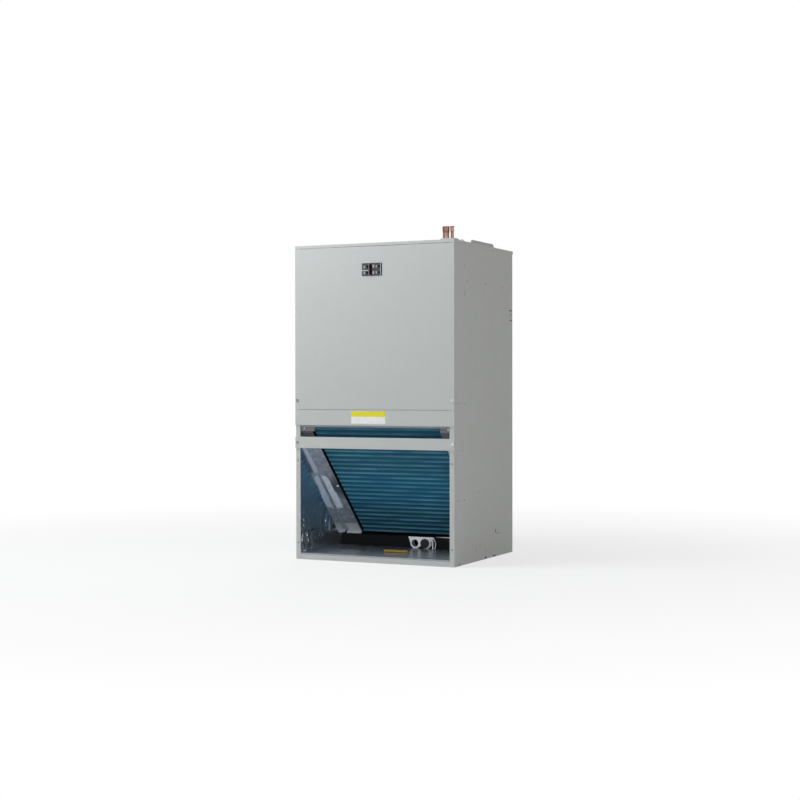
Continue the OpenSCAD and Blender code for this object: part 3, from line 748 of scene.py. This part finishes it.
# The left block-off plate: a white rivet whose colour paints a glint, foil tape at its foot, pale foil tape
# on its lip that paints the light falling on it, black foam at its edge that paints the shadow gap next to
# the fins, and a fold in its slot
def build_plate_details():
    down = Vector((0, math.cos(COIL_SLOPE), -math.sin(COIL_SLOPE)))
    deep = Vector((0, math.sin(COIL_SLOPE), math.cos(COIL_SLOPE)))
    plate = Bench(on_coil(0, 0, -PLATE_FRONT), X, -down)
    stock = Stock()
    # Painted highlight: the rivet head is white to show a glint
    at = (-213 * MM, -256 * MM)
    rivet_head = ((3.8, 0), (3.8, 0.6), (3.2, 1.6), (1.8, 2.2), (1.4, 1.8))
    stock.stack(plate, [(circle(radius * MM, at=at), proud * MM) for radius, proud in rivet_head])
    stock.piece("plate_glint_rivet", FINISHES["fitting_plastic"], "fitting_plastic", CREASE)
    foot = 472.8 * MM
    crushed_tape("foot_foil_tape", plate, (-251 * MM, -206 * MM), (-foot, 38 * MM - foot), 1.9 * MM)
    # Painted light: pale, diffuse foil tape on the lip's upward face shows the light falling on it
    lip = Bench(on_coil(0, foot, 0), X, deep)
    crushed_tape("lip_lit_foil_tape", lip, (-254 * MM, -204.5 * MM), (-22 * MM, -9.5 * MM), 0.8 * MM)
    # Painted shade: black foam along the plate's edge stands in for the shadow gap between plate and fins
    foam = Stock()
    rings = []
    section = ((-4, -6.7), (2.2, -6.7), (2.7, -6.2), (2.7, 2), (-4, 2))
    for place, edge in ((12 * MM, 3 * MM), (472 * MM, 12 * MM)):
        left = COIL[0].x + edge
        rings.append([on_coil(left + across * MM, place, depth * MM) for across, depth in section])
    foam.skin(rings)
    foam.piece("plate_edge_shadow_foam", SHADOW_FOAM, "pan_plastic")
    fold = Stock()
    rings = []
    for place, reach in ((214, 7.5), (220, 9.2), (352, 9.2), (358, 7.5)):
        section = ((-256.6, -reach), (-256.3, -reach - 0.3), (-255.7, -reach - 0.3),
                   (-255.4, -reach), (-255.4, -1), (-256.6, -1))
        rings.append([on_coil(across * MM, place * MM, depth * MM) for across, depth in section])
    fold.skin(rings)
    fold.piece("tab_fold", LIT_TAB_FINISH, "galvanised")


def crushed_tape(name, bench, across_span, rise_span, crush_height):
    """A crushed piece of foil tape with a ragged edge."""
    tape = Stock()
    columns, rows = 34, 28
    for row in range(rows + 1):
        for column in range(columns + 1):
            across = across_span[0] + (across_span[1] - across_span[0]) * column / columns
            rise = rise_span[1] + (rise_span[0] - rise_span[1]) * row / rows
            ragged = 1.5 * MM * noise.noise(Vector((across * 160, rise * 160, 4.0)))
            crush = abs(noise.noise(Vector((across * 120, rise * 190, 9.0))))
            rim = row in (0, rows) or column in (0, columns)
            proud = 0 if rim else 0.25 * MM + crush_height * crush
            tape.points.append(bench.put(across + ragged, rise, proud))
    tape.faces.extend(grid_faces(columns, rows))
    tape.faces.append(tuple(reversed(grid_rim(columns, rows))))
    tape.piece(name, TAPE_FOIL, "foil", math.radians(50))


# Painted shade of slot openings as dark pads, then nicks and a seam on the right side
def build_side_marks():
    side = Bench((RIGHT_SIDE[1].x, RIGHT_SIDE[0].y, 0), Y, Z)
    slots, nicks = Stock(), Stock()
    # Painted shade: dark pads for the shaded openings
    for left, low, right, high in ((438, 772.5, 466, 776), (449, 758.5, 456, 762.5), (446, 741.5, 466, 745),
                                   (321, 74, 327, 86), (236, 1, 248, 9), (300, 1, 322, 6)):
        pad(slots, side, left * MM, low * MM, right * MM, high * MM, 0.25 * MM, 1.2 * MM)
    for left, low, right, high in ((330, 70.5, 356, 73.5), (28, 1, 46, 7), (3, 481.2, 42, 482.8)):
        pad(nicks, side, left * MM, low * MM, right * MM, high * MM, 0.2 * MM, 0.5 * MM)
    slots.piece("side_slots", DARK_MARK, "cabinet_paint")
    nicks.piece("side_nicks", GREY_PAD, "cabinet_paint")


# Stickers, left bare
def build_stickers():
    front = Bench((0, FILTER_DOOR[0].y, 0), X, Z)
    film = 0.25 * MM
    for name, low, high, round_off, finish in (("filter_sticker_yellow", 441, 457, 4, YELLOW_FILM),
                                               ("filter_sticker_white", 420, 441, 1.2, WHITE_FILM)):
        stock = Stock()
        pad(stock, front, -73 * MM, low * MM, 42 * MM, high * MM, film, round_off * MM)
        stock.piece(name, finish, "cabinet_paint")
    curled_strip("floor_sticker", AMBER_FILM)


def curled_strip(name, finish):
    """A narrow strip on the floor whose front edge has come loose and curls up."""
    left, right = -27 * MM, 54 * MM
    back, flat, lift = -84 * MM, 16 * MM, 8 * MM
    film, steps = 0.3 * MM, 8
    stock = Stock()
    base = FLOOR_FOIL[1].z - 0.5 * MM
    path = [(back, base), (back - flat, base)]
    for step in range(1, steps + 1):
        turn = step / steps * math.pi / 2
        path.append((back - flat - lift * math.sin(turn), base + lift * (1 - math.cos(turn))))
    rings = []
    for across in (left, right):
        under = [Vector((across, y, z)) for y, z in path]
        over = []
        for place, (y, z) in enumerate(path):
            turn = max(0, place - 1) / steps * math.pi / 2
            over.append(Vector((across, y + film * math.sin(turn), z + film * math.cos(turn))))
        rings.append(under + over[::-1])
    stock.skin(rings)
    stock.piece(name, finish, "foil", CREASE)


# The face of the circuit breaker
def build_breaker_face():
    face = Bench((0, BREAKER[0].y, 0), X, Z)
    pads, painted_well_shade, bright = Stock(), Stock(), Stock()
    proud = 0.5 * MM
    pole_heights = (892.5, 874.5)
    for middle in pole_heights:
        pad(pads, face, -30 * MM, (middle - 4.5) * MM, -24.4 * MM, (middle + 4.5) * MM, proud)
        pad(pads, face, 11.4 * MM, (middle - 2.5) * MM, 15.6 * MM, (middle + 5) * MM, proud)
        # Painted shade: each terminal well has a near-black floor
        for across in (-17, 22.3):
            at = (across * MM, (middle + 0.8) * MM)
            painted_well_shade.stack(face, [(circle(3.6 * MM, at=at), 0), (circle(3.6 * MM, at=at), proud),
                               (circle(2.5 * MM, at=at), proud), (circle(2.3 * MM, at=at), 0.1 * MM)])
    pads.piece("breaker_grey_pads", GREY_PAD, "breaker_plastic")
    painted_well_shade.piece("breaker_well_shade", DEEP_BLACK, "breaker_plastic", CREASE)
    pad(bright, face, 26.4 * MM, 866.5 * MM, 27.8 * MM, 903.5 * MM, 0.6 * MM, 0.5 * MM)
    pad(bright, face, -34.8 * MM, 881 * MM, -14 * MM, 883.4 * MM, proud)
    bright.piece("breaker_pale_lines", PALE_LINE, "breaker_plastic")
    strip = Stock()
    pad(strip, face, -13.2 * MM, 869 * MM, -9.6 * MM, 901.5 * MM, proud)
    strip.piece("breaker_rose_strip", ROSE_STRIP, "breaker_plastic")
    for name, middle, finish in (("breaker_tan_window", 894.5, TAN_WINDOW),
                                 ("breaker_pink_window", 875.5, PINK_WINDOW)):
        window = Stock()
        well = Bench((0, BREAKER[0].y + 4 * MM, 0), X, Z)
        pad(window, well, -0.9 * MM, (middle - 5) * MM, 5 * MM, (middle + 5) * MM, 3.2 * MM)
        window.piece(name, finish, "breaker_plastic")


# The drain: a bung in the right port, the face round both ports, and a bright steel strip on the rim of the
# pan that paints a highlight
LEFT_PORT, RIGHT_PORT, PORT_HEIGHT = 14.75 * MM, 50.25 * MM, 36 * MM


def build_drain():
    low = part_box("drain_fitting")[0]
    bung = Stock()
    mouth = Bench((RIGHT_PORT, low.y, PORT_HEIGHT), X, Z)
    steps = 48
    knurl = []
    for step in range(steps):
        turn = 2 * math.pi * step / steps
        reach = (15.3 if step % 4 < 2 else 14.7) * MM
        knurl.append((reach * math.cos(turn), reach * math.sin(turn)))
    stem = ((11.2, -9), (11.4, 0.2))
    head = ((14, 5), (12, 5), (11.4, 3.6), (8, 3.6), (7.4, 4.6), (5, 4.6), (4.4, 3.4), (2, 3.4), (1.4, 4.4))
    layers = [(circle(radius * MM, steps), proud * MM) for radius, proud in stem]
    layers += [(knurl, 0.2 * MM), (knurl, 4 * MM)]
    layers += [(circle(radius * MM, steps), proud * MM) for radius, proud in head]
    bung.stack(mouth, layers)
    bung.piece("drain_bung", BUNG_RUBBER, "pan_plastic", CREASE)
    build_drain_face(low)
    pan_low, pan_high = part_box("drain_pan")
    # Painted highlight: a bright steel strip on the pan's rim, growing to the right
    strip = Stock()
    rim = Bench((0, pan_low.y, pan_high.z), X, Z)
    rings = []
    section = ((-2.2, 0), (-2.2, 0.5), (0.4, 0.6), (0.7, 0.3), (0.7, -2.6), (0, -2.6), (0, 0))
    for across, size in ((78, 0.4), (120, 1.0), (248, 1.0)):
        rings.append([rim.put(across * MM, rise * size * MM, proud * size * MM) for rise, proud in section])
    strip.skin(rings)
    strip.piece("pan_rim_highlight_strip", SCREW_STEEL, "galvanised", CREASE)


def build_drain_face(low):
    """The face round the ports, two uprights that close it on the right, and a grey sleeve in the open port
    whose colour paints the shade inside the bore.
    """
    clear, top, left_tip, right_tip = 15.5 * MM, 56 * MM, -8 * MM, 79 * MM
    sleeve_outside, sleeve_inside, sleeve_front, sleeve_back = 11.8 * MM, 11.55 * MM, -1.2 * MM, -21 * MM

    def arc(port, radius, first, last, steps=18):
        turns = [math.radians(first + (last - first) * step / steps) for step in range(steps + 1)]
        return [(port + radius * math.cos(turn), PORT_HEIGHT + radius * math.sin(turn)) for turn in turns]

    outline = [(right_tip, top), (left_tip, top)] + arc(LEFT_PORT, clear, 180, -35)
    outline += arc(RIGHT_PORT, clear, 215, 60) + [(right_tip - 1 * MM, 51.5 * MM)]
    hook = arc(RIGHT_PORT, 15.8 * MM, 64, -62) + arc(RIGHT_PORT, 18.2 * MM, -62, 64)
    face = Stock()
    mouth = Bench((0, low.y, 0), X, Z)
    for shape in (outline, hook):
        face.stack(mouth, [(shape, -3 * MM), (shape, -0.3 * MM)])
    upright = ((54, 73), (48, 73.2), (38, 74.6), (24, 74.8), (19, 74.6))
    bowed = ((55.6, 77.4), (52, 79.6), (47, 82), (41, 84.3), (36, 85.3), (30, 85.2), (25, 84), (19, 81.6))
    for path, thickness, depth in ((upright, 2.2, 5), (bowed, 1.4, 4)):
        rings = []
        for rise, across in path:
            far = across + thickness
            corners = ((across, 0.6), (far, 0.6), (far, depth), (across, depth))
            rings.append([Vector((x * MM, low.y + y * MM, rise * MM)) for x, y in corners])
        face.skin(rings)
    face.piece("drain_face", FINISHES["fitting_plastic"], "fitting_plastic", CREASE)
    # Painted shade: the sleeve's grey stands in for the shade inside the open bore
    sleeve = Stock()
    port = Bench((LEFT_PORT, low.y, PORT_HEIGHT), X, Z)
    sleeve.hoop(port, [(sleeve_outside, sleeve_front), (sleeve_inside, sleeve_front),
                       (sleeve_inside, sleeve_back), (sleeve_outside, sleeve_back)])
    sleeve.piece("drain_port_sleeve", SHADED_PORT_GREY, "pan_plastic", CREASE)


# Dark rings where the bells of the stubs meet the tubes, and red rims round their mouths
def build_flame_rings():
    for node in ("suction_stub", "liquid_stub"):
        low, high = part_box(node)
        middle = (low + high) / 2
        radius = (high.x - low.x) / 2
        ring = Stock()
        foot = Bench((middle.x, middle.y, high.z - 19 * MM), X, Y)
        tube = radius - 1.6 * MM
        ring.hoop(foot, [(tube - 0.4 * MM, 0), (tube + 0.5 * MM, 0), (tube + 1.0 * MM, 1.4 * MM),
                         (tube + 0.6 * MM, 2.8 * MM), (tube - 0.4 * MM, 2.8 * MM)])
        ring.piece(node + "_flame_ring", FLAME_COPPER, "copper", math.radians(60))
        lip = Stock()
        mouth = Bench((middle.x, middle.y, high.z - 3.2 * MM), X, Y)
        lip.hoop(mouth, [(radius - 0.3 * MM, 0), (radius + 0.1 * MM, 0), (radius + 0.9 * MM, 1.6 * MM),
                         (radius + 0.9 * MM, 2.6 * MM), (radius + 0.4 * MM, 3.1 * MM),
                         (radius - 0.3 * MM, 3.1 * MM)])
        lip.piece(node + "_red_rim", RIM_COPPER, "copper", math.radians(50))


build_coil()
build_foil()
build_screws()
build_plate_details()
build_side_marks()
build_stickers()
build_breaker_face()
build_flame_rings()
build_drain()


# The carried-over pieces take their finish, and edges are softened where the sheet is not full of holes
PIERCED = ("left_side_panel", "right_side_panel", "top_panel")
SOFT_EDGES = {
    "cabinet_paint": 0.5 * MM,
    "galvanised": 0.3 * MM,
    "breaker_plastic": 0.4 * MM,
    "pan_plastic": 0.8 * MM,
    "fitting_plastic": 0.6 * MM,
}
OWN_FINISHES = {
    "hanger_tab": LIT_TAB_FINISH,
    "breaker_handle": DEEP_BLACK,
    "coil_front_baffle": SHADED_BAFFLE_FINISH,
    "left_block_off": PLATE_FINISH,
    "right_block_off": PLATE_FINISH,
}
for name, node in NODES.items():
    slot = node.material_slots[0].material.name
    node.material_slots[0].material = OWN_FINISHES.get(name, FINISHES[slot])
    if slot in SOFT_EDGES and name not in PIERCED:
        weld = node.modifiers.new("weld", "WELD")
        weld.merge_threshold = 0.01 * MM
        soft = node.modifiers.new("soft_edges", "BEVEL")
        soft.width = SOFT_EDGES[slot]
        soft.segments = 2
        soft.limit_method = "ANGLE"
        soft.angle_limit = math.radians(35)
        even = node.modifiers.new("even_faces", "WEIGHTED_NORMAL")
        even.weight = 100


# Stage: floor, lights and camera
def seen_directly(finish):
    """1 where the camera looks, straight or by way of gloss or glass, and 0 for other light."""
    camera = finish.node("ShaderNodeLightPath", output="Is Camera Ray")
    gloss = finish.node("ShaderNodeLightPath", output="Is Glossy Ray")
    glass = finish.node("ShaderNodeLightPath", output="Is Transmission Ray")
    return camera | gloss | glass


def build_floor():
    """A pale floor that keeps part of the shadow."""
    floor = Finish("pale_floor")
    paper = floor.node("ShaderNodeBsdfDiffuse", {}, {"Color": (0.7, 0.7, 0.7, 1.0)})
    white = floor.node("ShaderNodeEmission", {}, {"Color": (1.0, 1.0, 1.0, 1.0), "Strength": 1.0})
    reach = floor.node("ShaderNodeVectorMath", {"operation": "LENGTH"}, {0: floor.place()}, "Value")
    share = floor.ramp(reach / 4.0, (0.1, 0.72), (0.55, 1.0))
    mixed = floor.node("ShaderNodeMixShader", {}, {0: seen_directly(floor) * share, 1: paper, 2: white})
    floor.node("ShaderNodeOutputMaterial", {}, {"Surface": mixed})
    reach = 30.0
    corners = [(-reach, -reach, 0), (reach, -reach, 0), (reach, reach, 0), (-reach, reach, 0)]
    mesh = bpy.data.meshes.new("floor")
    mesh.from_pydata(corners, [], [(0, 1, 2, 3)])
    mesh.materials.append(floor.material)
    made = bpy.data.objects.new("floor", mesh)
    made.location.z = -0.5 * MM
    bpy.context.scene.collection.objects.link(made)


def build_studio():
    """Even light from all round, white where it is looked at."""
    studio = Finish("studio", bpy.data.worlds)
    fill = studio.node("ShaderNodeBackground", {}, {"Color": (0.93, 0.97, 1.0, 1.0), "Strength": 0.12})
    white = studio.node("ShaderNodeBackground", {}, {"Color": (1.0, 1.0, 1.0, 1.0), "Strength": 1.0})
    mixed = studio.node("ShaderNodeMixShader", {}, {0: seen_directly(studio), 1: fill, 2: white})
    studio.node("ShaderNodeOutputWorld", {}, {"Surface": mixed})
    bpy.context.scene.world = studio.material


def soft_light(name, at, towards, size, power, tint):
    lamp = bpy.data.lights.new(name, "AREA")
    lamp.shape = "RECTANGLE"
    lamp.size, lamp.size_y = size
    lamp.energy = power
    lamp.color = tint
    made = bpy.data.objects.new(name, lamp)
    made.location = at
    made.rotation_euler = (Vector(towards) - Vector(at)).to_track_quat("-Z", "Y").to_euler()
    bpy.context.scene.collection.objects.link(made)


def build_camera():
    azimuth, pitch, roll = math.radians(25.603), math.radians(0.556), math.radians(-0.072)
    level = math.cos(pitch)
    back = Vector((math.sin(azimuth) * level, -math.cos(azimuth) * level, math.sin(pitch)))
    right = (-back).cross(Z).normalized()
    up = right.cross(-back)
    tilted_right = right * math.cos(roll) + up * math.sin(roll)
    tilted_up = up * math.cos(roll) - right * math.sin(roll)
    turn = Matrix((tilted_right, tilted_up, back)).transposed()
    lens = bpy.data.cameras.new("camera")
    lens.sensor_width = 36.0
    lens.lens = 68.34
    lens.clip_end = 100.0
    made = bpy.data.objects.new("camera", lens)
    made.matrix_world = Matrix.Translation((2.0501, -4.3243, 0.5361)) @ turn.to_4x4()
    bpy.context.scene.collection.objects.link(made)
    bpy.context.scene.camera = made


build_floor()
build_studio()
COOL, WARM, PLAIN = (0.95, 0.985, 1.0), (1.0, 0.97, 0.92), (1.0, 1.0, 1.0)
soft_light("high_left", (-0.8, -0.85, 2.05), (0, -0.2, 0.8), (0.9, 0.6), 36, COOL)
soft_light("low_front", (1.5, -3.6, 0.45), (0, 0, 0.3), (2.0, 0.9), 42, COOL)
soft_light("left_front", (-2.2, -2.3, 0.5), (0, 0, 0.35), (1.2, 0.8), 13, COOL)
soft_light("right", (3.2, -0.8, 1.4), (0, 0, 0.5), (1.6, 1.6), 21, WARM)
soft_light("behind", (-1.4, 3.4, 1.9), (0, 0.2, 0.5), (1.8, 1.8), 55, PLAIN)
build_camera()
bpy.context.scene.view_settings.view_transform = "Standard"
